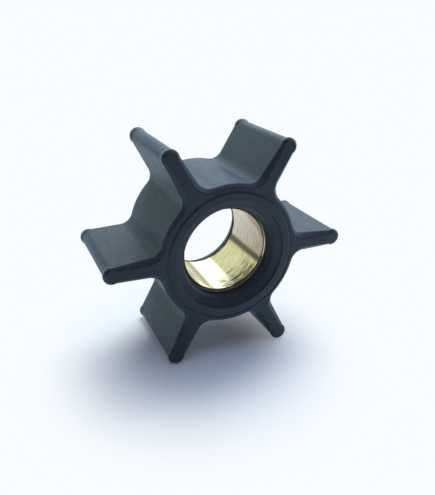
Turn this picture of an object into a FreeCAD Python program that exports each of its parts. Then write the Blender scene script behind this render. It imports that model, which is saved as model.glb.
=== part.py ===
"""Flexible-vane pump impeller: a rubber moulding with tapered vanes round a brass bush.

The impeller stands on two vane tips, as it does on a bench. The origin is the centre of the
bush bore, the bore runs along Y with the front face at -Y, and Z is up.
"""
import FreeCAD, Part
import math
import os
import Sketcher

VECTOR = FreeCAD.Vector
TOLERANCE = 0.001

# Driving sizes in millimetres: name, value, what it measures.
DRIVING = (
    ("tip_diameter", 42.0, "over the beads at the vane tips"),
    ("vane_count", 6, "vanes round the hub"),
    ("vane_width", 17.8, "vanes and hub rim, along the bore"),
    ("bead_diameter", 2.9, "round bead that seals against the pump housing"),
    ("bead_overhang", 0.1, "how far the bead stands out from each flank"),
    ("root_thickness", 3.6, "vane where it leaves the hub"),
    ("root_radius", 2.3, "hollow between vane and hub"),
    ("neck_radius", 0.6, "hollow between flank and bead"),
    ("edge_break", 0.6, "broken edge along the outline of both faces"),
    ("hub_wall", 3.6, "rubber between the bush and the hub's outside"),
    ("rim_width", 1.0, "flat rim outside the groove round the ring land"),
    ("groove_width", 0.5, "groove between the rim and the ring land"),
    ("groove_depth", 0.25, "groove below the rim"),
    ("land_height", 0.2, "ring land above the rim"),
    ("land_crest", 1.2, "flat top of the ring land"),
    ("land_break", 0.12, "broken edges of the ring land and of the recess"),
    ("shelf_run", 0.2, "run of the ring land's inner side"),
    ("shelf_depth", 0.15, "foot of that side below the rim"),
    ("mouth_depth", 0.65, "edge of the recess below the rim"),
    ("recess_depth", 2.5, "end of the bush below the rim"),
    ("recess_flare", 0.4, "how far the recess widens from the bush to its edge"),
    ("lip_overlap", 0.8, "rubber that laps over the end of the bush"),
    ("bore_diameter", 14.3, "shaft bore of the bush"),
    ("bush_wall", 1.35, "brass between the bore and the rubber"),
    ("bore_chamfer", 0.3, "both ends of the bore"),
    ("flute_count", 6, "flutes that lock the bush in the rubber"),
    ("flute_radius", 1.2, "section of a flute"),
    ("flute_depth", 0.5, "flute below the outside of the bush"),
    ("key_width", 3.6, "drive keyway"),
    ("key_depth", 0.85, "drive keyway, from the wall of the bore"),
    ("key_angle", 120.0, "keyway from +X towards +Z, in degrees"),
)

# Sizes that follow from the driving ones.
DERIVED = (
    ("bead_radius", "bead_diameter / 2"),
    ("tip_centre", "tip_diameter / 2 - bead_radius"),
    ("tip_thickness", "bead_diameter - 2 * bead_overhang"),
    ("bore_radius", "bore_diameter / 2"),
    ("bush_radius", "bore_radius + bush_wall"),
    ("bush_length", "vane_width - 2 * recess_depth"),
    ("bush_half", "bush_length / 2"),
    ("hub_radius", "bush_radius + hub_wall"),
    ("rim_half", "vane_width / 2"),
    ("crest_half", "rim_half + land_height"),
    ("rim_inner", "hub_radius - rim_width"),
    ("groove_radius", "rim_inner - groove_width / 2"),
    ("groove_half", "rim_half - groove_depth"),
    ("crest_outer", "rim_inner - groove_width"),
    ("crest_inner", "crest_outer - land_crest"),
    ("shelf_radius", "crest_inner - shelf_run"),
    ("shelf_half", "rim_half - shelf_depth"),
    ("lip_radius", "bush_radius - lip_overlap"),
    ("mouth_radius", "lip_radius + recess_flare"),
    ("mouth_half", "rim_half - mouth_depth"),
    ("vane_start", "(rim_inner + hub_radius) / 2"),
    ("chamfer_radius", "bore_radius + bore_chamfer"),
    ("chamfer_half", "bush_half - bore_chamfer"),
    ("flute_centre", "bush_radius + flute_radius - flute_depth"),
    ("flute_angle", "180 / flute_count"),
    ("key_floor", "bore_radius + key_depth"),
    ("root_round", "min(root_radius; (tip_centre - hub_radius) * 0.35)"),
    ("edge_leg", "min(edge_break; tip_thickness * 0.4; rim_width * 0.8)"),
    ("land_leg", "min(land_break; land_crest * 0.4; land_height * 0.8)"),
)


def make_sheet(document):
    """The spreadsheet of sizes, every value under its own name."""
    sheet = document.addObject("Spreadsheet::Sheet", "sizes")
    for row, (name, value, meaning) in enumerate(DRIVING, start=1):
        sheet.set(f"A{row}", name)
        sheet.set(f"B{row}", str(value))
        sheet.set(f"C{row}", meaning)
        sheet.setAlias(f"B{row}", name)
    for row, (name, formula) in enumerate(DERIVED, start=len(DRIVING) + 2):
        sheet.set(f"A{row}", name)
        sheet.set(f"B{row}", "=" + formula)
        sheet.setAlias(f"B{row}", name)
    document.recompute()
    return sheet


def origin_feature(body, role):
    """The body's own origin plane or axis with this role."""
    return next(item for item in body.Origin.OriginFeatures if item.Role == role)


def add_body(document, name):
    """An empty body whose label names its file."""
    body = document.addObject("PartDesign::Body", name)
    body.Label = name
    return body


def add_sketch(body, name, plane):
    """A sketch on one of the body's origin planes."""
    sketch = body.newObject("Sketcher::SketchObject", name)
    sketch.AttachmentSupport = [(origin_feature(body, plane), "")]
    sketch.MapMode = "FlatFace"
    return sketch


def drive(sketch, kind, elements, size, start):
    """A dimension of the sketch that follows a size on the sheet."""
    index = sketch.addConstraint(Sketcher.Constraint(kind, *elements, start))
    sketch.setExpression(f"Constraints[{index}]", f"sizes.{size}")


def locate(sketch, point, across, along, sheet):
    """Hold a sketch point at two sizes, measured from the origin."""
    drive(sketch, "DistanceX", (-1, 1, *point), across, sheet.get(across))
    drive(sketch, "DistanceY", (-1, 1, *point), along, sheet.get(along))


def section_sketch(body, name, corners, sheet):
    """A closed section in the XY plane, the same on both sides of the X axis.

    Each corner names its radius and its distance from the mid-plane.
    """
    sketch = add_sketch(body, name, "XY_Plane")
    upper = [VECTOR(sheet.get(radius), sheet.get(height), 0) for radius, height in corners]
    lower = [VECTOR(point.x, -point.y, 0) for point in reversed(upper)]
    outline = upper + lower
    last = len(outline) - 1
    for start, end in zip(outline, outline[1:] + outline[:1]):
        sketch.addGeometry(Part.LineSegment(start, end))
    for line in range(last):
        sketch.addConstraint(Sketcher.Constraint("Coincident", line, 2, line + 1, 1))
    sketch.addConstraint(Sketcher.Constraint("Coincident", last, 2, 0, 1))
    for line, (radius, height) in enumerate(corners):
        locate(sketch, (line, 1), radius, height, sheet)
        sketch.addConstraint(Sketcher.Constraint("Symmetric", line, 1, last - line, 1, -1))
    return sketch


def add_revolution(body, name, sketch):
    """The section turned once about the bore."""
    turned = body.newObject("PartDesign::Revolution", name)
    turned.Profile = sketch
    turned.ReferenceAxis = (origin_feature(body, "Y_Axis"), [""])
    turned.Angle = 360
    return turned


def add_pad(body, name, sketch, length):
    """The outline carried equally to both sides of the mid-plane."""
    pad = body.newObject("PartDesign::Pad", name)
    pad.Profile = sketch
    pad.SideType = "Symmetric"
    pad.setExpression("Length", f"sizes.{length}")
    return pad


def add_pocket(body, name, sketch, length):
    """The outline cut equally to both sides of the mid-plane; it has to remove something."""
    before = body.Shape.Volume
    pocket = body.newObject("PartDesign::Pocket", name)
    pocket.Profile = sketch
    pocket.SideType = "Symmetric"
    pocket.setExpression("Length", f"sizes.{length}")
    body.Document.recompute()
    if body.Shape.Volume >= before:
        raise RuntimeError(f"{name} cuts nothing")
    return pocket


def add_pattern(body, name, feature, count):
    """The feature repeated evenly about the bore."""
    pattern = body.newObject("PartDesign::PolarPattern", name)
    pattern.Originals = [feature]
    pattern.Axis = (origin_feature(body, "Y_Axis"), [""])
    pattern.Angle = 360
    pattern.setExpression("Occurrences", f"sizes.{count}")
    body.Tip = pattern
    body.Document.recompute()
    return pattern


def add_fillet(body, name, base, edges, radius):
    """A round on the named edges of the base feature."""
    fillet = body.newObject("PartDesign::Fillet", name)
    fillet.Base = (base, edges)
    fillet.setExpression("Radius", f"sizes.{radius}")
    body.Document.recompute()
    return fillet


def add_chamfer(body, name, base, edges, leg):
    """A bevel on the named edges of the base feature."""
    chamfer = body.newObject("PartDesign::Chamfer", name)
    chamfer.Base = (base, edges)
    chamfer.setExpression("Size", f"sizes.{leg}")
    body.Document.recompute()
    return chamfer


def close(length, wanted):
    """Whether two lengths are the same."""
    return abs(length - wanted) < TOLERANCE


def axis_distance(point):
    """How far a point lies from the bore's axis."""
    return math.hypot(point.x, point.z)


def edge_names(shape, wanted):
    """Names of the shape's edges that pass the test."""
    return [f"Edge{index}" for index, edge in enumerate(shape.Edges, start=1) if wanted(edge)]


def root_edges(shape, sheet):
    """The straight corners between vane flanks and hub."""
    hub_radius = sheet.get("hub_radius")
    vane_width = sheet.get("vane_width")

    def wanted(edge):
        if not close(edge.Length, vane_width):
            return False
        return all(close(axis_distance(end.Point), hub_radius) for end in edge.Vertexes)

    return edge_names(shape, wanted)


def rim_edges(shape, sheet):
    """The outline of the front and back faces, round hub and vanes."""
    rim_half = sheet.get("rim_half")
    hub_radius = sheet.get("hub_radius")

    def wanted(edge):
        ends = [end.Point for end in edge.Vertexes]
        if not all(close(abs(end.y), rim_half) for end in ends):
            return False
        return all(axis_distance(end) > hub_radius - TOLERANCE for end in ends)

    return edge_names(shape, wanted)


def land_edges(shape, sheet):
    """The circles at the crest of the ring land and at the mouth of the recess."""
    circles = (("crest_outer", "crest_half"), ("crest_inner", "crest_half"), ("mouth_radius", "mouth_half"))

    def wanted(edge):
        if len(edge.Vertexes) > 1:
            return False
        end = edge.Vertexes[0].Point
        return any(
            close(axis_distance(end), sheet.get(radius)) and close(abs(end.y), sheet.get(half))
            for radius, half in circles
        )

    return edge_names(shape, wanted)


def vane_outline(body, sheet):
    """One vane along +X: tapered flanks, a hollow neck on each side and the round bead."""
    centre = VECTOR(sheet.get("tip_centre"), 0, 0)
    bead_radius = sheet.get("bead_radius")
    neck_radius = sheet.get("neck_radius")
    root = VECTOR(sheet.get("hub_radius"), sheet.get("root_thickness") / 2, 0)
    tip = VECTOR(centre.x, sheet.get("tip_thickness") / 2, 0)
    along = (tip - root).normalize()
    outward = VECTOR(-along.y, along.x, 0)
    offset_start = root + outward * neck_radius
    reach = (centre - offset_start).dot(along)
    clear = (centre - offset_start).dot(outward)
    neck_run = reach - math.sqrt((bead_radius + neck_radius) ** 2 - clear ** 2)
    neck_centre = offset_start + along * neck_run
    neck_start = root + along * neck_run
    bead_start = centre + (neck_centre - centre) * (bead_radius / (bead_radius + neck_radius))
    start = root + along * ((sheet.get("vane_start") - root.x) / along.x)

    def mirror(point):
        return VECTOR(point.x, -point.y, 0)

    def arc(middle, radius, first, second):
        angles = [math.atan2((end - middle).y, (end - middle).x) for end in (first, second)]
        return Part.ArcOfCircle(Part.Circle(middle, VECTOR(0, 0, 1), radius), *angles)

    sketch = add_sketch(body, "vane_outline", "XZ_Plane")
    root_line = sketch.addGeometry(Part.LineSegment(mirror(start), start))
    flank = sketch.addGeometry(Part.LineSegment(start, neck_start))
    neck = sketch.addGeometry(arc(neck_centre, neck_radius, neck_start, bead_start))
    bead = sketch.addGeometry(arc(centre, bead_radius, mirror(bead_start), bead_start))
    far_neck = sketch.addGeometry(
        arc(mirror(neck_centre), neck_radius, mirror(bead_start), mirror(neck_start))
    )
    far_flank = sketch.addGeometry(Part.LineSegment(mirror(neck_start), mirror(start)))
    root_point = sketch.addGeometry(Part.Point(root), True)
    tip_point = sketch.addGeometry(Part.Point(tip), True)
    for constraint in (
        ("Coincident", root_line, 2, flank, 1),
        ("Tangent", flank, 2, neck, 1),
        ("Tangent", neck, 2, bead, 2),
        ("Tangent", bead, 1, far_neck, 1),
        ("Tangent", far_neck, 2, far_flank, 1),
        ("Coincident", far_flank, 2, root_line, 1),
        ("Symmetric", flank, 1, far_flank, 2, -1),
        ("Equal", flank, far_flank),
        ("Equal", neck, far_neck),
        ("PointOnObject", bead, 3, -1),
        ("PointOnObject", root_point, 1, flank),
        ("PointOnObject", tip_point, 1, flank),
    ):
        sketch.addConstraint(Sketcher.Constraint(*constraint))
    drive(sketch, "DistanceX", (-1, 1, flank, 1), "vane_start", start.x)
    drive(sketch, "DistanceX", (-1, 1, bead, 3), "tip_centre", centre.x)
    drive(sketch, "Radius", (bead,), "bead_radius", bead_radius)
    drive(sketch, "Radius", (neck,), "neck_radius", neck_radius)
    drive(sketch, "DistanceX", (-1, 1, root_point, 1), "hub_radius", root.x)
    drive(sketch, "DistanceY", (-1, 1, root_point, 1), "root_thickness / 2", root.y)
    drive(sketch, "DistanceX", (-1, 1, tip_point, 1), "tip_centre", tip.x)
    drive(sketch, "DistanceY", (-1, 1, tip_point, 1), "tip_thickness / 2", tip.y)
    return sketch


def flute_outline(body, sheet):
    """The round section of one flute between bush and rubber, on the XZ plane."""
    centre = VECTOR(sheet.get("flute_centre"), 0, 0)
    radius = sheet.get("flute_radius")
    sketch = add_sketch(body, "flute_outline", "XZ_Plane")
    circle = sketch.addGeometry(Part.Circle(centre, VECTOR(0, 0, 1), radius))
    sketch.addConstraint(Sketcher.Constraint("PointOnObject", circle, 3, -1))
    drive(sketch, "DistanceX", (-1, 1, circle, 3), "flute_centre", centre.x)
    drive(sketch, "Radius", (circle,), "flute_radius", radius)
    return sketch


def key_outline(body, sheet):
    """The keyway's rectangle on the XZ plane, from inside the bore to its floor."""
    inner = sheet.get("bore_radius") / 2
    outer = sheet.get("key_floor")
    half = sheet.get("key_width") / 2
    sketch = add_sketch(body, "key_outline", "XZ_Plane")
    corners = (
        VECTOR(inner, -half, 0),
        VECTOR(outer, -half, 0),
        VECTOR(outer, half, 0),
        VECTOR(inner, half, 0),
    )
    for start, end in zip(corners, corners[1:] + corners[:1]):
        sketch.addGeometry(Part.LineSegment(start, end))
    for constraint in (
        ("Coincident", 0, 2, 1, 1),
        ("Coincident", 1, 2, 2, 1),
        ("Coincident", 2, 2, 3, 1),
        ("Coincident", 3, 2, 0, 1),
        ("Symmetric", 0, 1, 2, 2, -1),
        ("Symmetric", 0, 2, 1, 2, -1),
    ):
        sketch.addConstraint(Sketcher.Constraint(*constraint))
    drive(sketch, "DistanceX", (-1, 1, 2, 2), "bore_radius / 2", inner)
    drive(sketch, "DistanceX", (-1, 1, 1, 2), "key_floor", outer)
    drive(sketch, "DistanceY", (1, 1, 1, 2), "key_width", 2 * half)
    drive(sketch, "DistanceY", (0, 1, 2, 2), "key_width", 2 * half)
    return sketch


def turn_sketch(sketch, angle):
    """Turn a sketch about the bore by an angle on the sheet."""
    sketch.AttachmentOffset = FreeCAD.Placement(VECTOR(), FreeCAD.Rotation(VECTOR(0, 0, 1), 1))
    sketch.setExpression("AttachmentOffset.Rotation.Angle", f"sizes.{angle} * 1 deg")


def build_rubber(document, sheet):
    """The rubber moulding: hub with a ring land on each face, six vanes and the bush's seat."""
    body = add_body(document, "impeller_body")
    hub_section = section_sketch(body, "hub_section", (
        ("bush_radius", "bush_half"),
        ("lip_radius", "bush_half"),
        ("mouth_radius", "mouth_half"),
        ("shelf_radius", "shelf_half"),
        ("crest_inner", "crest_half"),
        ("crest_outer", "crest_half"),
        ("groove_radius", "groove_half"),
        ("rim_inner", "rim_half"),
        ("hub_radius", "rim_half"),
    ), sheet)
    add_revolution(body, "hub", hub_section)
    document.recompute()
    vane = add_pad(body, "vane", vane_outline(body, sheet), "vane_width")
    vanes = add_pattern(body, "vanes", vane, "vane_count")
    roots = add_fillet(body, "root_rounds", vanes, root_edges(vanes.Shape, sheet), "root_round")
    rims = add_chamfer(body, "rim_bevels", roots, rim_edges(roots.Shape, sheet), "edge_leg")
    add_chamfer(body, "land_bevels", rims, land_edges(rims.Shape, sheet), "land_leg")
    rib_sketch = flute_outline(body, sheet)
    turn_sketch(rib_sketch, "flute_angle")
    rib = add_pad(body, "seat_rib", rib_sketch, "bush_length")
    add_pattern(body, "seat_ribs", rib, "flute_count")
    return body


def build_bush(document, sheet):
    """The brass bush: a turned sleeve, fluted outside, with a keyway in its bore."""
    body = add_body(document, "hub_bush")
    bush_section = section_sketch(body, "bush_section", (
        ("bore_radius", "chamfer_half"),
        ("chamfer_radius", "bush_half"),
        ("bush_radius", "bush_half"),
    ), sheet)
    add_revolution(body, "sleeve", bush_section)
    document.recompute()
    flute_sketch = flute_outline(body, sheet)
    turn_sketch(flute_sketch, "flute_angle")
    flute = add_pocket(body, "flute", flute_sketch, "bush_length")
    add_pattern(body, "flutes", flute, "flute_count")
    key_sketch = key_outline(body, sheet)
    turn_sketch(key_sketch, "key_angle")
    add_pocket(body, "keyway", key_sketch, "bush_length")
    return body


def check_document(document, bodies):
    """Stop if an object failed, a sketch is loose or a piece is not one valid solid."""
    for item in document.Objects:
        if {"Invalid", "Error"} & set(item.State):
            raise RuntimeError(f"{item.Name} failed: {item.State}")
        if item.TypeId == "Sketcher::SketchObject" and not item.FullyConstrained:
            raise RuntimeError(f"{item.Name} is not fully constrained")
    for body in bodies:
        shape = body.Shape
        if shape.isNull() or not shape.isValid() or len(shape.Solids) != 1:
            raise RuntimeError(f"{body.Label} is not one valid solid")


def main():
    document = FreeCAD.newDocument("pump_impeller")
    sheet = make_sheet(document)
    bodies = (build_rubber(document, sheet), build_bush(document, sheet))
    document.recompute()
    check_document(document, bodies)
    os.makedirs("parts", exist_ok=True)
    for body in bodies:
        body.Shape.exportStep(f"parts/{body.Label}.step")
        box = body.Shape.BoundBox
        print(f"{body.Label}: {body.Shape.Volume:.1f} mm3, {len(body.Shape.Faces)} faces, "
              f"{box.XLength:.2f} x {box.YLength:.2f} x {box.ZLength:.2f} mm")


main()
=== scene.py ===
"""Looks of the flexible-vane pump impeller: the rubber moulding, its brass bush and a pale studio."""
import math
from collections import namedtuple

import bpy
from mathutils import Matrix, Vector, noise
from mathutils.geometry import tessellate_polygon


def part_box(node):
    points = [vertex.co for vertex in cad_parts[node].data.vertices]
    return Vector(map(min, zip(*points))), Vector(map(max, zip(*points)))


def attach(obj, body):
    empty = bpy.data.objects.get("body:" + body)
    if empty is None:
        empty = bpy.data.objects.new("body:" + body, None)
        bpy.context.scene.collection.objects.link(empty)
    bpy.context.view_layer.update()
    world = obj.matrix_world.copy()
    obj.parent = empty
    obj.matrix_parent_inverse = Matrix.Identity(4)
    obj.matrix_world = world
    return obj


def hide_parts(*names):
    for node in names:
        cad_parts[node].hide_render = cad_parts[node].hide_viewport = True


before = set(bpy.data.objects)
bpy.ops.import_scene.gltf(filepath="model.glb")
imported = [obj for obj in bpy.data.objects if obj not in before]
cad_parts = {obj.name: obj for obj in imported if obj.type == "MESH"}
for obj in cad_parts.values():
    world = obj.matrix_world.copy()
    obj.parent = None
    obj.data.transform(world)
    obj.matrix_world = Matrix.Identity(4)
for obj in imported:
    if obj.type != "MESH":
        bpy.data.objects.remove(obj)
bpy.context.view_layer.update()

MM = 0.001

# The moulding, in metres. What the CAD boxes give is read from them.
MOULDING_LOW, MOULDING_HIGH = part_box("impeller_body")
BUSH_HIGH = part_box("hub_bush")[1]
VANES = 6
BEAD_RADIUS = 1.45 * MM
TIP_CENTRE = MOULDING_HIGH.x - BEAD_RADIUS
TIP_THICKNESS = 2.7 * MM
ROOT_THICKNESS = 3.6 * MM
ROOT_RADIUS = 2.3 * MM
NECK_RADIUS = 0.6 * MM
HUB_WALL = 3.6 * MM
HUB_RADIUS = BUSH_HIGH.x + HUB_WALL
LAND_HEIGHT = 0.2 * MM
CREST_HALF = MOULDING_HIGH.y
RIM_HALF = CREST_HALF - LAND_HEIGHT

# The bush.
BUSH_RADIUS = BUSH_HIGH.x
BUSH_HALF = BUSH_HIGH.y
BUSH_WALL = 1.35 * MM
BORE_RADIUS = BUSH_RADIUS - BUSH_WALL
BORE_CHAMFER = 0.3 * MM
BORE_HALF = BUSH_HALF - BORE_CHAMFER
FLUTES = 6
FLUTE_RADIUS = 1.2 * MM
FLUTE_DEPTH = 0.5 * MM
FLUTE_CENTRE = BUSH_RADIUS + FLUTE_RADIUS - FLUTE_DEPTH
KEY_HALF_WIDTH = 1.8 * MM
KEY_DEPTH = 0.85 * MM
KEY_FLOOR = BORE_RADIUS + KEY_DEPTH
KEY_ANGLE = math.radians(120)

# The ring land on each face, with the groove round it and the shelf and flared recess inside it.
GROOVE_RADIUS = 11.1 * MM
GROOVE_FLOOR_RADIUS = 10.85 * MM
GROOVE_DEPTH = 0.16 * MM
LAND_OUTER_RADIUS = 10.6 * MM
LAND_INNER_RADIUS = 9.4 * MM
SHELF_RADIUS = 9.2 * MM
SHELF_DEPTH = 0.15 * MM
RECESS_RADIUS = 8.1 * MM
RECESS_DEPTH = 0.65 * MM
LIP_RADIUS = 7.7 * MM
RING_ROUND = 0.2 * MM
LAND_INNER_ROUND = 0.15 * MM

# Its section from the rim inwards: radius, distance from the mid-plane, round on the corner.
LAND_PROFILE = (
    (GROOVE_RADIUS, RIM_HALF, 0.0),
    (GROOVE_FLOOR_RADIUS, RIM_HALF - GROOVE_DEPTH, RING_ROUND),
    (LAND_OUTER_RADIUS, CREST_HALF, RING_ROUND),
    (LAND_INNER_RADIUS, CREST_HALF, LAND_INNER_ROUND),
    (SHELF_RADIUS, RIM_HALF - SHELF_DEPTH, RING_ROUND),
    (RECESS_RADIUS, RIM_HALF - RECESS_DEPTH, RING_ROUND),
    (LIP_RADIUS, BUSH_HALF, 0.0),
)

# The bevel round both faces, and how soft its two edges are as a share of it.
BEAD_BEVEL = 0.4 * MM
NECK_BEVEL = 0.5 * MM
FLANK_BEVEL = 0.85 * MM
HUB_BEVEL = 0.55 * MM
BEVEL_SOFTNESS = 0.6

# The bead stands out only in a knob at each face; between them the tip is plain and a little shorter.
PLAIN_TIP_BACK = 0.12 * MM
KNOB_LENGTH = 0.9 * MM
KNOB_FADE = 0.9 * MM

# How finely the pieces are divided.
BEAD_STEPS = 14
NECK_STEPS = 5
FLANK_STEPS = 8
ROOT_STEPS = 9
HUB_STEPS = 7
WALL_STEPS = 40
CORNER_STEPS = 6
RING_STEPS = 240

# The moulding's skin is never true: it dips inside the CAD form by up to this much.
WAVE_DEPTH = 0.05 * MM
WAVE_LENGTH = 6.0 * MM
RIPPLE_DEPTH = 0.012 * MM
RIPPLE_LENGTH = 1.6 * MM
RIPPLE_SHIFT = Vector((7, 3, 5))

# The photograph's camera, fitted to the outlines of the vanes: degrees, metres and pixels.
PHOTO_HEIGHT = 495
CAMERA_AZIMUTH = -23.966
CAMERA_ELEVATION = 23.879
CAMERA_ROLL = 0.334
CAMERA_DISTANCE = 96.68 * MM
CAMERA_RIGHT = 1.27 * MM
CAMERA_UP = -1.91 * MM
CLIP_START = 5.0 * MM
FOCAL_PIXELS = 551.1
SENSOR_WIDTH = 36.0

# The studio's background and floor. The floor shows its shadow up to the first distance from the
# shadow's centre, with a little white painted over it. From there, white is painted over the shadow more
# and more, until only the background's own white shows from the second distance on.
PALE = (0.94, 0.973, 1.0)
FLOOR_TONE = (0.90, 0.955, 0.98)
FLOOR_HEIGHT = MOULDING_LOW.z
FLOOR_REACH = 40.0
SHADOW_CENTRE = (-5.0 * MM, -6.0 * MM)
SHADOW_FADE = (7.0 * MM, 32.0 * MM)
PAINTED_WHITE_IN_SHADOW = 0.04
CARD_STEPS = 24


# A point of the moulding's outline: its place at the faces and between the knobs, each with its
# outward normal, and the bevel there.
OutlinePoint = namedtuple("OutlinePoint", "place normal plain_place plain_normal bevel")


def on_arc(centre, radius, start, end, steps, hollow):
    """Points and outward normals along an arc, without its last point."""
    pairs = []
    for step in range(steps):
        angle = start + (end - start) * step / steps
        ray = Vector((math.cos(angle), math.sin(angle)))
        pairs.append((centre + ray * radius, -ray if hollow else ray))
    return pairs


def angle_of(vector):
    """Direction of a plane vector, in radians."""
    return math.atan2(vector.y, vector.x)


def between(pair, share):
    """A number between two, at a share of the way."""
    return pair[0] + (pair[1] - pair[0]) * share


def graded(pairs, plain_pairs, bevels):
    """Outline points of one stretch, with the bevel graded from its start to its end."""
    return [
        OutlinePoint(*pair, *plain_pair, between(bevels, step / len(pairs)))
        for step, (pair, plain_pair) in enumerate(zip(pairs, plain_pairs))
    ]


def on_line(start, end, normal, steps):
    """Points and outward normals along a straight stretch, without its last point."""
    return [(start.lerp(end, step / steps), normal) for step in range(steps)]


def half_sector():
    """The outline from the middle of a vane's tip to the middle of the next gap, vane along +X.

    The neck's hollow touches the flank and the bead, and the root's hollow the flank and the hub.
    """
    tip = Vector((TIP_CENTRE, TIP_THICKNESS / 2))
    root = Vector((HUB_RADIUS, ROOT_THICKNESS / 2))
    centre = Vector((TIP_CENTRE, 0))
    along = (tip - root).normalized()
    out = Vector((-along.y, along.x))
    neck_line = root + out * NECK_RADIUS
    clear = (centre - neck_line).dot(out)
    neck_run = (centre - neck_line).dot(along) - math.sqrt((BEAD_RADIUS + NECK_RADIUS) ** 2 - clear ** 2)
    neck_centre = neck_line + along * neck_run
    root_line = root + out * ROOT_RADIUS
    hollow_reach = HUB_RADIUS + ROOT_RADIUS
    slide = root_line.dot(along)
    root_run = math.sqrt(slide ** 2 - root_line.dot(root_line) + hollow_reach ** 2) - slide
    root_centre = root_line + along * root_run
    flank_end = root_centre - out * ROOT_RADIUS
    bead = on_arc(centre, BEAD_RADIUS, 0.0, angle_of(neck_centre - centre), BEAD_STEPS, False)
    neck = on_arc(
        neck_centre, NECK_RADIUS, angle_of(centre - neck_centre), angle_of(-out), NECK_STEPS, True
    )
    flank = on_line(neck_centre - out * NECK_RADIUS, flank_end, out, FLANK_STEPS)
    plain_centre = centre - Vector((PLAIN_TIP_BACK, 0))
    plain_radius = (root - plain_centre).dot(out)
    tip_steps = BEAD_STEPS + NECK_STEPS
    plain_tip = on_arc(plain_centre, plain_radius, 0.0, angle_of(out), tip_steps, False)
    plain_flank = on_line(plain_centre + out * plain_radius, flank_end, out, FLANK_STEPS)
    gap_middle = math.pi / VANES
    middle = Vector((math.cos(gap_middle), math.sin(gap_middle)))
    hollow = on_arc(root_centre, ROOT_RADIUS, angle_of(-out), angle_of(-root_centre), ROOT_STEPS, True)
    hub = on_arc(Vector((0, 0)), HUB_RADIUS, angle_of(root_centre), gap_middle, HUB_STEPS, False)
    hub.append((middle * HUB_RADIUS, middle))
    return (
        graded(bead, plain_tip[:BEAD_STEPS], (BEAD_BEVEL, BEAD_BEVEL))
        + graded(neck, plain_tip[BEAD_STEPS:], (BEAD_BEVEL, NECK_BEVEL))
        + graded(flank, plain_flank, (NECK_BEVEL, FLANK_BEVEL))
        + graded(hollow, hollow, (FLANK_BEVEL, HUB_BEVEL))
        + graded(hub, hub, (HUB_BEVEL, HUB_BEVEL))
    )


def outline():
    """The outline once round hub and vanes, anticlockwise."""
    half = half_sector()

    def carried(spots, matrix):
        """The spots turned or mirrored by a matrix."""
        return [OutlinePoint(*(matrix @ vector for vector in spot[:4]), spot.bevel) for spot in spots]

    over = Matrix(((1, 0), (0, -1)))
    sector = carried(reversed(half[1:-1]), over) + half
    spots = []
    for vane in range(VANES):
        spots += carried(sector, Matrix.Rotation(2 * math.pi * vane / VANES, 2))
    return spots


def rounded_profile(corners):
    """The section line through the corners, with an arc at each one that has a round."""
    points = [Vector(corners[0][:2])]
    for before, corner, after in zip(corners, corners[1:], corners[2:]):
        here = Vector(corner[:2])
        if not corner[2]:
            points.append(here)
            continue
        back = (Vector(before[:2]) - here).normalized()
        ahead = (Vector(after[:2]) - here).normalized()
        opening = back.angle(ahead) / 2
        centre = here + (back + ahead).normalized() * (corner[2] / math.sin(opening))
        start = here + back * (corner[2] / math.tan(opening)) - centre
        sweep = start.angle_signed(here + ahead * (corner[2] / math.tan(opening)) - centre)
        for step in range(CORNER_STEPS + 1):
            points.append(centre + Matrix.Rotation(-sweep * step / CORNER_STEPS, 2) @ start)
    points.append(Vector(corners[-1][:2]))
    return points


def ring_angles():
    """Evenly spaced angles once round the bore."""
    return [2 * math.pi * step / RING_STEPS for step in range(RING_STEPS)]


def on_ring(radius, angle, along):
    """A point at a radius and angle about the bore."""
    return Vector((radius * math.cos(angle), along, radius * math.sin(angle)))


def fluted_ring(along):
    """The line where bush and rubber meet: a circle with the flutes let in."""
    points = []
    pitch = 2 * math.pi / FLUTES
    for angle in ring_angles():
        aside = FLUTE_CENTRE * math.sin(angle % pitch - pitch / 2)
        radius = BUSH_RADIUS
        if abs(aside) < FLUTE_RADIUS:
            ahead = FLUTE_CENTRE * math.cos(angle % pitch - pitch / 2)
            radius = min(radius, ahead - math.sqrt(FLUTE_RADIUS ** 2 - aside ** 2))
        points.append(on_ring(radius, angle, along))
    return points


def keyed_ring(radius, along):
    """The bore's outline at a radius, with the keyway's two walls and its floor."""
    key_reach = math.asin(KEY_HALF_WIDTH / radius)
    sweep = 2 * (math.pi - key_reach)
    points = [
        on_ring(radius, KEY_ANGLE + key_reach + sweep * step / RING_STEPS, along)
        for step in range(RING_STEPS + 1)
    ]
    key = Vector((math.cos(KEY_ANGLE), 0, math.sin(KEY_ANGLE)))
    side = Vector((-key.z, 0, key.x))
    for half_width in (-KEY_HALF_WIDTH, KEY_HALF_WIDTH):
        points.append(key * KEY_FLOOR + side * half_width + Vector((0, along, 0)))
    return points


def dipped(point, normal):
    """A point of the true form, moved in to where the moulded skin lies."""
    wave = noise.noise(point / WAVE_LENGTH) * 0.5 + 0.5
    ripple = noise.noise(point / RIPPLE_LENGTH + RIPPLE_SHIFT) * 0.5 + 0.5
    return point - normal * (WAVE_DEPTH * wave + RIPPLE_DEPTH * ripple)


def plain_share(along):
    """How plain the tip is at a distance from the mid-plane: 0 at the knobs, 1 between them."""
    share = (RIM_HALF - abs(along) - KNOB_LENGTH) / KNOB_FADE
    share = min(max(share, 0.0), 1.0)
    return share * share * (3 - 2 * share)


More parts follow.
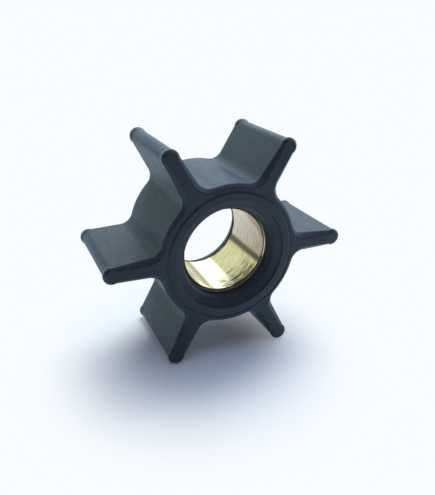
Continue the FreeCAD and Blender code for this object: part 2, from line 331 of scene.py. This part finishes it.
class LoopMesh:
    """Vertices and faces collected loop by loop."""

    def __init__(self):
        self.points = []
        self.faces = []

    def add_loop(self, points):
        """New vertices; returns their indices in order."""
        first = len(self.points)
        self.points += points
        return list(range(first, len(self.points)))

    def bridge(self, one, two):
        """Four-sided faces between two loops of the same length."""
        for step, (a, b) in enumerate(zip(one, two)):
            following = (step + 1) % len(one)
            self.faces.append((a, one[following], two[following], b))

    def fill(self, outer, inner, facing):
        """Flat faces between an outer loop and an inner one; facing is -1 towards -Y."""
        loops = [[self.points[index] for index in loop] for loop in (outer, inner)]
        flat = [[Vector((p.x, p.z, 0)) for p in loop] for loop in loops]
        order = outer + inner
        for triangle in tessellate_polygon(flat):
            a, b, c = (order[index] for index in triangle)
            first, second = self.points[b] - self.points[a], self.points[c] - self.points[a]
            turned = first.cross(second).y * facing < 0
            self.faces.append((a, c, b) if turned else (a, b, c))

    def make(self, name):
        """The object with this mesh, in the scene."""
        mesh = bpy.data.meshes.new(name)
        mesh.from_pydata(self.points, [], self.faces)
        mesh.update()
        piece = bpy.data.objects.new(name, mesh)
        bpy.context.scene.collection.objects.link(piece)
        return piece


def make_moulding():
    """The rubber moulding, closed: outline with bevelled rims, ring lands, recesses and ribbed seat."""
    spots = outline()
    built = LoopMesh()

    def outline_loop(share, inset, drop, lean):
        """The outline at a share of the way from the mid-plane to a face.

        It is moved in from the outline, and down from the face, by shares of each spot's bevel.
        """
        points = []
        for spot in spots:
            along = share * (RIM_HALF - spot.bevel * drop)
            plain = plain_share(along)
            flat = spot.normal.lerp(spot.plain_normal, plain).normalized()
            inside = spot.place.lerp(spot.plain_place, plain) - flat * spot.bevel * inset
            level = flat * math.cos(lean)
            outward = Vector((level.x, share * math.sin(lean), level.y))
            points.append(dipped(Vector((inside.x, along, inside.y)), outward))
        return built.add_loop(points)

    def ring_loop(radius, along):
        """A round loop about the bore."""
        return built.add_loop([on_ring(radius, angle, along) for angle in ring_angles()])

    # The bevel's section: in from the outline and down from the face, both in bevels.
    bevel = rounded_profile(((0, 2, 0), (0, 1, BEVEL_SOFTNESS), (1, 0, BEVEL_SOFTNESS), (2, 0, 0)))[1:-1]
    foot = bevel[0].y
    leans = [math.pi / 2 * step / (len(bevel) - 1) for step in range(len(bevel))]
    edge = list(zip(bevel, leans))[1:]
    outer = [outline_loop(-1, point.x, point.y, lean) for point, lean in reversed(edge)]
    outer += [outline_loop(2 * step / WALL_STEPS - 1, 0, foot, 0) for step in range(WALL_STEPS + 1)]
    outer += [outline_loop(1, point.x, point.y, lean) for point, lean in edge]
    section = rounded_profile(LAND_PROFILE)
    inner = [ring_loop(point.x, -point.y) for point in section]
    inner += [built.add_loop(fluted_ring(side * BUSH_HALF)) for side in (-1, 1)]
    inner += [ring_loop(point.x, point.y) for point in reversed(section)]
    for loops, outward in ((outer, True), (inner, False)):
        for one, two in zip(loops, loops[1:]):
            built.bridge(*((one, two) if outward else (two, one)))
    built.fill(outer[0], inner[0], -1)
    built.fill(outer[-1], inner[-1], 1)
    return built.make("rubber_moulding")


def make_bush():
    """The turned bush: keyed bore with bevelled ends, fluted outside."""
    built = LoopMesh()
    outer = [built.add_loop(fluted_ring(side * BUSH_HALF)) for side in (-1, 1)]
    inner = [
        built.add_loop(keyed_ring(radius, along))
        for radius, along in (
            (BORE_RADIUS + BORE_CHAMFER, -BUSH_HALF),
            (BORE_RADIUS, -BORE_HALF),
            (BORE_RADIUS, BORE_HALF),
            (BORE_RADIUS + BORE_CHAMFER, BUSH_HALF),
        )
    ]
    built.bridge(*outer)
    for one, two in zip(inner, inner[1:]):
        built.bridge(two, one)
    built.fill(outer[0], inner[0], -1)
    built.fill(outer[-1], inner[-1], 1)
    return built.make("brass_bush")


def smooth_piece(piece, crease_angle):
    """Smooth shading, creased where faces meet at more than the angle, with flat faces kept flat."""
    piece.data.shade_smooth()
    piece.data.set_sharp_from_angle(angle=math.radians(crease_angle))
    weighted = piece.modifiers.new("flat_faces_stay_flat", "WEIGHTED_NORMAL")
    weighted.keep_sharp = True


def add_node(tree, kind, **settings):
    """A shader node with its settings; a setting named after an input sets that input."""
    node = tree.nodes.new(kind)
    for key, value in settings.items():
        if hasattr(node, key):
            setattr(node, key, value)
        else:
            node.inputs[key.replace("_", " ").title()].default_value = value
    return node


def calculate(tree, operation, first, second=None, clamp=False):
    """A sum on sockets or plain numbers; returns its output."""
    node = tree.nodes.new("ShaderNodeMath")
    node.operation = operation
    node.use_clamp = clamp
    for socket, value in zip(node.inputs, (first, second)):
        if isinstance(value, (int, float)):
            socket.default_value = value
        elif value is not None:
            tree.links.new(value, socket)
    return node.outputs[0]


def new_group(name, inputs, outputs):
    """An empty shader node group with float inputs and outputs."""
    group = bpy.data.node_groups.new(name, "ShaderNodeTree")
    for label, value in inputs:
        socket = group.interface.new_socket(label, in_out="INPUT", socket_type="NodeSocketFloat")
        socket.default_value = value
    for label in outputs:
        group.interface.new_socket(label, in_out="OUTPUT", socket_type="NodeSocketFloat")
    return group, group.nodes.new("NodeGroupInput"), group.nodes.new("NodeGroupOutput")


def cloud_group():
    """Soft cloudy patches, from 0 to 1, at a patch size in millimetres."""
    group, given, result = new_group(
        "cloudy_patches", (("Patch Size", 4.0), ("Contrast", 1.0), ("Shift", 0.0)), ("Amount",)
    )
    place = add_node(group, "ShaderNodeTexCoord")
    in_patches = add_node(group, "ShaderNodeVectorMath", operation="SCALE")
    moved = add_node(group, "ShaderNodeVectorMath", operation="ADD")
    clouds = add_node(group, "ShaderNodeTexNoise", scale=1.0, detail=5.0, roughness=0.6)
    link = group.links.new
    link(place.outputs["Object"], in_patches.inputs[0])
    link(calculate(group, "DIVIDE", 1 / MM, given.outputs["Patch Size"]), in_patches.inputs["Scale"])
    link(in_patches.outputs[0], moved.inputs[0])
    link(given.outputs["Shift"], moved.inputs[1])
    link(moved.outputs[0], clouds.inputs["Vector"])
    centred = calculate(group, "SUBTRACT", clouds.outputs["Fac"], 0.5)
    spread = calculate(group, "MULTIPLY", centred, given.outputs["Contrast"])
    link(calculate(group, "ADD", spread, 0.5, clamp=True), result.inputs["Amount"])
    return group


def place_group(tree, group, **values):
    """A copy of the group in a tree, with its own values; returns its output."""
    node = tree.nodes.new("ShaderNodeGroup")
    node.node_tree = group
    for key, value in values.items():
        node.inputs[key.replace("_", " ").title()].default_value = value
    return node.outputs[0]


def new_material(name):
    """A material with only its Principled shader and output."""
    material = bpy.data.materials.new(name)
    material.use_nodes = True
    tree = material.node_tree
    return material, tree, tree.nodes["Principled BSDF"]


def mix_colours(tree, amount, first, second):
    """A colour between two, plain or from a socket, by an amount; returns its output."""
    mix = tree.nodes.new("ShaderNodeMix")
    mix.data_type = "RGBA"
    for socket, colour in ((mix.inputs["A"], first), (mix.inputs["B"], second)):
        if isinstance(colour, tuple):
            socket.default_value = (*colour, 1)
        else:
            tree.links.new(colour, socket)
    tree.links.new(amount, mix.inputs["Factor"])
    return mix.outputs["Result"]


def carry(tree, value, low, high, to_low, to_high, smooth=False):
    """A value carried from one range to another, held at its ends; returns its output."""
    node = tree.nodes.new("ShaderNodeMapRange")
    node.interpolation_type = "SMOOTHSTEP" if smooth else "LINEAR"
    for key, number in (("From Min", low), ("From Max", high), ("To Min", to_low), ("To Max", to_high)):
        node.inputs[key].default_value = number
    tree.links.new(value, node.inputs["Value"])
    return node.outputs["Result"]


def rubber_material(clouds):
    """Moulded nitrile rubber: near black, mottled blue-grey bloom, fine matt grain."""
    black, grey_black, bloom_grey = (0.018, 0.016, 0.024), (0.027, 0.027, 0.035), (0.055, 0.075, 0.088)
    material, tree, shader = new_material("moulded_rubber")
    link = tree.links.new
    patches = place_group(tree, clouds, patch_size=3.2, contrast=2.6, shift=2.0)
    mottle = place_group(tree, clouds, patch_size=0.8, contrast=3.0, shift=7.0)
    grain = place_group(tree, clouds, patch_size=0.14, contrast=1.6, shift=5.0)
    tone = mix_colours(tree, patches, black, grey_black)
    bloom = carry(tree, mottle, 0.4, 1.0, 0.0, 0.25)
    link(mix_colours(tree, bloom, tone, bloom_grey), shader.inputs["Base Color"])
    link(carry(tree, mottle, 0.0, 1.0, 0.42, 0.60), shader.inputs["Roughness"])
    uneven = calculate(tree, "ADD", grain, calculate(tree, "MULTIPLY", mottle, 0.8))
    bump = add_node(tree, "ShaderNodeBump", strength=0.6, distance=0.03 * MM)
    link(uneven, bump.inputs["Height"])
    link(bump.outputs[0], shader.inputs["Normal"])
    shader.inputs["Specular IOR Level"].default_value = 0.46
    shader.inputs["Specular Tint"].default_value = (0.62, 0.88, 1.0, 1)
    shader.inputs["Sheen Weight"].default_value = 0.37
    shader.inputs["Sheen Roughness"].default_value = 0.5
    shader.inputs["Sheen Tint"].default_value = (0.43, 0.80, 0.94, 1)
    return material


def bore_place(tree):
    """Angle about the bore, distance along it and distance from its axis, as sockets."""
    place = add_node(tree, "ShaderNodeTexCoord")
    parts = add_node(tree, "ShaderNodeSeparateXYZ")
    tree.links.new(place.outputs["Object"], parts.inputs[0])
    across, along, height = (parts.outputs[axis] for axis in "XYZ")
    angle = calculate(tree, "ARCTAN2", height, across)
    squares = [calculate(tree, "MULTIPLY", part, part) for part in (across, height)]
    return angle, along, calculate(tree, "SQRT", calculate(tree, "ADD", *squares))


def turned_lines(tree, angle, along, per_radian, per_mm):
    """Noise drawn out round the bore, as a cutting tool leaves it; returns its output."""
    cut = add_node(tree, "ShaderNodeCombineXYZ")
    lines = add_node(tree, "ShaderNodeTexNoise", scale=1.0, detail=4.0, roughness=0.65)
    tree.links.new(calculate(tree, "MULTIPLY", angle, per_radian), cut.inputs["X"])
    tree.links.new(calculate(tree, "MULTIPLY", along, per_mm / MM), cut.inputs["Y"])
    tree.links.new(cut.outputs[0], lines.inputs["Vector"])
    return lines.outputs["Fac"]


def in_span(tree, value, low, high, fade):
    """1 where a value lies between two bounds, fading to 0 outside them."""
    rising = carry(tree, value, low - fade, low, 0.0, 1.0, smooth=True)
    falling = carry(tree, value, high, high + fade, 1.0, 0.0, smooth=True)
    return calculate(tree, "MULTIPLY", rising, falling)


def bore_colour(tree, clouds, marks, angle, along, radius):
    """Brass, darker and browner on one side of the bore and darkest there towards its front end,
    streaked by the tool, scratched near its front end.

    Beyond the bore's own radius lie the bevels at its ends, which are tan.
    """
    pale_brass, light_brass = (0.72, 0.68, 0.40), (0.82, 0.79, 0.51)
    front_brown, back_brown = (0.42, 0.32, 0.22), (0.68, 0.63, 0.53)
    streak, scratch, edge_tan = (0.26, 0.23, 0.09), (0.05, 0.04, 0.012), (0.60, 0.50, 0.36)
    # The span of angles round the bore where the brass is darker and browner, and how softly it fades.
    brown_side, brown_side_fade = (-0.25, 1.3), 0.4
    scratched_side, scratched_fade = (-1.45, -0.75), 0.3
    clean = mix_colours(
        tree, place_group(tree, clouds, patch_size=5.0, contrast=1.8, shift=3.0), pale_brass, light_brass
    )
    on_wall = carry(tree, radius, BORE_RADIUS + 0.02 * MM, BORE_RADIUS + 0.06 * MM, 1.0, 0.0)
    ragged = calculate(tree, "ADD", angle, carry(tree, marks, 0.3, 0.7, -0.15, 0.15))
    brown_share = calculate(tree, "MULTIPLY", in_span(tree, ragged, *brown_side, brown_side_fade), on_wall)
    depth = calculate(tree, "ADD", along, carry(tree, marks, 0.3, 0.7, -2.5 * MM, 2.5 * MM))
    far_back = carry(tree, depth, -6.0 * MM, 5.0 * MM, 0.0, 1.0)
    sided = mix_colours(tree, brown_share, clean, mix_colours(tree, far_back, front_brown, back_brown))
    streaked = mix_colours(tree, carry(tree, marks, 0.36, 0.58, 0.5, 0.0), sided, streak)
    near_front = carry(tree, along, -6.0 * MM, 0.5 * MM, 0.2, 0.0)
    worn = calculate(tree, "MULTIPLY", in_span(tree, angle, *scratched_side, scratched_fade), near_front)
    gouges = calculate(tree, "ADD", turned_lines(tree, angle, along, 2.2, 9.0), worn)
    scratched = mix_colours(tree, carry(tree, gouges, 0.61, 0.66, 0.0, 1.0), streaked, scratch)
    on_bevel = carry(tree, radius, BORE_RADIUS + 0.14 * MM, BORE_RADIUS + 0.18 * MM, 0.0, 1.0)
    return mix_colours(tree, on_bevel, scratched, edge_tan)


def bore_painted_shade(tree, marks, along, radius):
    """How much painted shade there is: painted dark at the wall's back end, in a dark line round the lip
    that stands for a dark reflection, and over the end faces.
    """
    ragged = calculate(tree, "ADD", along, carry(tree, marks, 0.3, 0.7, -0.3 * MM, 0.3 * MM))
    at_back = carry(tree, ragged, BORE_HALF - 0.8 * MM, BORE_HALF - 0.5 * MM, 0.0, 1.0)
    at_lip = in_span(tree, radius, BORE_RADIUS + 0.03 * MM, BORE_RADIUS + 0.14 * MM, 0.02 * MM)
    on_face = carry(tree, radius, BORE_RADIUS + 0.26 * MM, BORE_RADIUS + 0.30 * MM, 0.0, 0.8)
    return calculate(tree, "MAXIMUM", at_back, calculate(tree, "MAXIMUM", at_lip, on_face))


def brass_material(clouds):
    """Turned brass: tool marks round the bore, brown on one side, scratches, and painted shade at the
    ends.
    """
    # Painted shade: one dark brown for the bore's back end, the line round the lip and the end faces.
    painted_shade_brown = (0.045, 0.036, 0.016)
    material, tree, shader = new_material("turned_brass")
    link = tree.links.new
    angle, along, radius = bore_place(tree)
    marks = turned_lines(tree, angle, along, 3.0, 5.0)
    colour = bore_colour(tree, clouds, marks, angle, along, radius)
    painted_shade = bore_painted_shade(tree, marks, along, radius)
    # The painted shade darkens the colour and takes the metal away there.
    link(mix_colours(tree, painted_shade, colour, painted_shade_brown), shader.inputs["Base Color"])
    link(calculate(tree, "SUBTRACT", 1.0, painted_shade), shader.inputs["Metallic"])
    # The painted shade also dulls the brass.
    polish = carry(tree, marks, 0.3, 0.7, 0.2, 0.1)
    dull = calculate(tree, "MULTIPLY", painted_shade, 0.7)
    link(calculate(tree, "MAXIMUM", polish, dull), shader.inputs["Roughness"])
    shader.inputs["Specular IOR Level"].default_value = 0.1
    bump = add_node(tree, "ShaderNodeBump", strength=0.4, distance=0.015 * MM)
    link(marks, bump.inputs["Height"])
    link(bump.outputs[0], shader.inputs["Normal"])
    shader.inputs["Anisotropic"].default_value = 0.5
    around = add_node(tree, "ShaderNodeTangent", direction_type="RADIAL", axis="Y")
    link(around.outputs[0], shader.inputs["Tangent"])
    return material


def dress(piece, material):
    """The piece wears one material."""
    piece.data.materials.clear()
    piece.data.materials.append(material)


def seen_directly(tree, path):
    """1 on rays from the camera, in a reflection or through glass, 0 on rays that only light."""
    seen = calculate(tree, "ADD", path.outputs["Is Camera Ray"], path.outputs["Is Glossy Ray"])
    return calculate(tree, "ADD", seen, path.outputs["Is Transmission Ray"], clamp=True)


def make_floor():
    """A pale floor that carries the shadow, with white painted over it that grows round the shadow's
    centre to the white of the world.
    """
    material, tree, shader = new_material("pale_floor")
    link = tree.links.new
    shader.inputs["Base Color"].default_value = (*FLOOR_TONE, 1)
    shader.inputs["Roughness"].default_value = 1.0
    shader.inputs["Specular IOR Level"].default_value = 0.0
    white = add_node(tree, "ShaderNodeEmission", strength=1.0)
    white.inputs["Color"].default_value = (*PALE, 1)
    place = add_node(tree, "ShaderNodeTexCoord")
    away = add_node(tree, "ShaderNodeVectorMath", operation="LENGTH")
    link(place.outputs["Object"], away.inputs[0])
    # Painted light: white painted over the shadow, a little at its core and fully from the second
    # distance on.
    painted_white = carry(tree, away.outputs["Value"], *SHADOW_FADE, PAINTED_WHITE_IN_SHADOW, 1.0, smooth=True)
    path = add_node(tree, "ShaderNodeLightPath")
    mix = add_node(tree, "ShaderNodeMixShader")
    link(calculate(tree, "MULTIPLY", painted_white, seen_directly(tree, path)), mix.inputs["Fac"])
    link(shader.outputs[0], mix.inputs[1])
    link(white.outputs[0], mix.inputs[2])
    link(mix.outputs[0], tree.nodes["Material Output"].inputs["Surface"])
    corners = [
        Vector((x * FLOOR_REACH, y * FLOOR_REACH, 0)) for x, y in ((-1, -1), (1, -1), (1, 1), (-1, 1))
    ]
    floor_mesh = LoopMesh()
    floor_mesh.faces.append(floor_mesh.add_loop(corners))
    floor = floor_mesh.make("floor")
    floor.location = (*SHADOW_CENTRE, FLOOR_HEIGHT)
    dress(floor, material)


def towards(azimuth, elevation):
    """A direction from the impeller, in degrees: azimuth 0 is in front of it, 90 on its right."""
    turn, tilt = math.radians(azimuth), math.radians(elevation)
    return Vector((math.sin(turn) * math.cos(tilt), -math.cos(turn) * math.cos(tilt), math.sin(tilt)))


def make_card(name, azimuths, elevations, distance, colour, only_mirrored):
    """A curved studio card round the impeller that gives off an even tone.

    The camera doesn't see it. One that is only mirrored shows in reflections and lights nothing else.
    """
    material, tree, shader = new_material(name)
    tone = add_node(tree, "ShaderNodeEmission", strength=1.0)
    tone.inputs["Color"].default_value = (*colour, 1)
    tree.links.new(tone.outputs[0], tree.nodes["Material Output"].inputs["Surface"])
    tree.nodes.remove(shader)
    card_mesh = LoopMesh()
    rows = []
    shares = [step / CARD_STEPS for step in range(CARD_STEPS + 1)]
    for height in shares:
        elevation = between(elevations, height)
        points = [towards(between(azimuths, share), elevation) * distance for share in shares]
        rows.append(card_mesh.add_loop(points))
    for low, high in zip(rows, rows[1:]):
        for step in range(CARD_STEPS):
            card_mesh.faces.append((low[step], low[step + 1], high[step + 1], high[step]))
    card = card_mesh.make(name)
    card.visible_camera = False
    card.visible_diffuse = not only_mirrored
    card.visible_shadow = not only_mirrored
    dress(card, material)


def add_window(azimuth, elevation, distance, size, brightness, colour):
    """A soft rectangular lamp aimed at the impeller; brightness is the tone that its face shows.

    That is a quarter of its watts for each square metre.
    """
    place = towards(azimuth, elevation) * distance
    data = bpy.data.lights.new("window", "AREA")
    data.shape = "RECTANGLE"
    data.size, data.size_y = size
    data.energy = brightness * 4 * data.size * data.size_y
    data.color = colour
    lamp = bpy.data.objects.new("window", data)
    lamp.visible_glossy = False
    lamp.location = place
    lamp.rotation_euler = (-place).to_track_quat("-Z", "Y").to_euler()
    bpy.context.scene.collection.objects.link(lamp)


def light_studio():
    """A window behind on the right, a dim side towards the camera and a white world."""
    add_window(144, 57, distance=0.8, size=(0.48, 0.38), brightness=5.7, colour=(0.98, 1.0, 0.99))
    for name, azimuths, elevations, distance, colour, only_mirrored in (
        ("window_pane", (94, 176), (12, 58), 0.75, (2.1, 2.3, 2.6), True),
        ("left_glow", (176, 270), (8, 38), 0.51, (0.95, 1.0, 0.9), True),
        ("camera_side", (-90, 90), (-5, 62), 0.5, (0.125, 0.112, 0.20), False),
        ("left_wall", (180, 270), (-5, 60), 0.52, (0.27, 0.30, 0.34), False),
        ("left_skirting", (180, 270), (-5, 8), 0.5, (0.14, 0.14, 0.12), False),
        ("right_skirting", (90, 180), (4, 12), 0.5, (0.50, 0.49, 0.38), False),
    ):
        make_card(name, azimuths, elevations, distance, colour, only_mirrored)
    daylight = (0.80, 1.04, 1.36)
    world = bpy.data.worlds.new("white_world")
    world.use_nodes = True
    tree = world.node_tree
    path = add_node(tree, "ShaderNodeLightPath")
    sky = mix_colours(tree, seen_directly(tree, path), daylight, PALE)
    tree.links.new(sky, tree.nodes["Background"].inputs["Color"])
    bpy.context.scene.world = world


def make_camera():
    """The camera at the photograph's place, with its lens."""
    roll = math.radians(CAMERA_ROLL)
    back = towards(CAMERA_AZIMUTH, CAMERA_ELEVATION)
    level = towards(CAMERA_AZIMUTH + 90, 0)
    upright = back.cross(level)
    right = level * math.cos(roll) + upright * math.sin(roll)
    up = upright * math.cos(roll) - level * math.sin(roll)
    data = bpy.data.cameras.new("camera")
    data.sensor_width = SENSOR_WIDTH
    data.lens = FOCAL_PIXELS / PHOTO_HEIGHT * SENSOR_WIDTH
    data.clip_start = CLIP_START
    camera = bpy.data.objects.new("camera", data)
    place = back * CAMERA_DISTANCE + right * CAMERA_RIGHT + up * CAMERA_UP
    axes = Matrix((right, up, back)).transposed().to_4x4()
    camera.matrix_world = Matrix.Translation(place) @ axes
    bpy.context.scene.collection.objects.link(camera)
    bpy.context.scene.camera = camera


def main():
    """The two pieces, dressed and in their places, then the studio and the camera."""
    clouds = cloud_group()
    for piece, crease, material, node, slot in (
        (make_moulding(), 40, rubber_material(clouds), "impeller_body", "rubber"),
        (make_bush(), 30, brass_material(clouds), "hub_bush", "brass"),
    ):
        smooth_piece(piece, crease)
        dress(piece, material)
        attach(piece, "root")
        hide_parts(node)
    make_floor()
    light_studio()
    make_camera()
    bpy.context.scene.view_settings.view_transform = "Standard"


main()
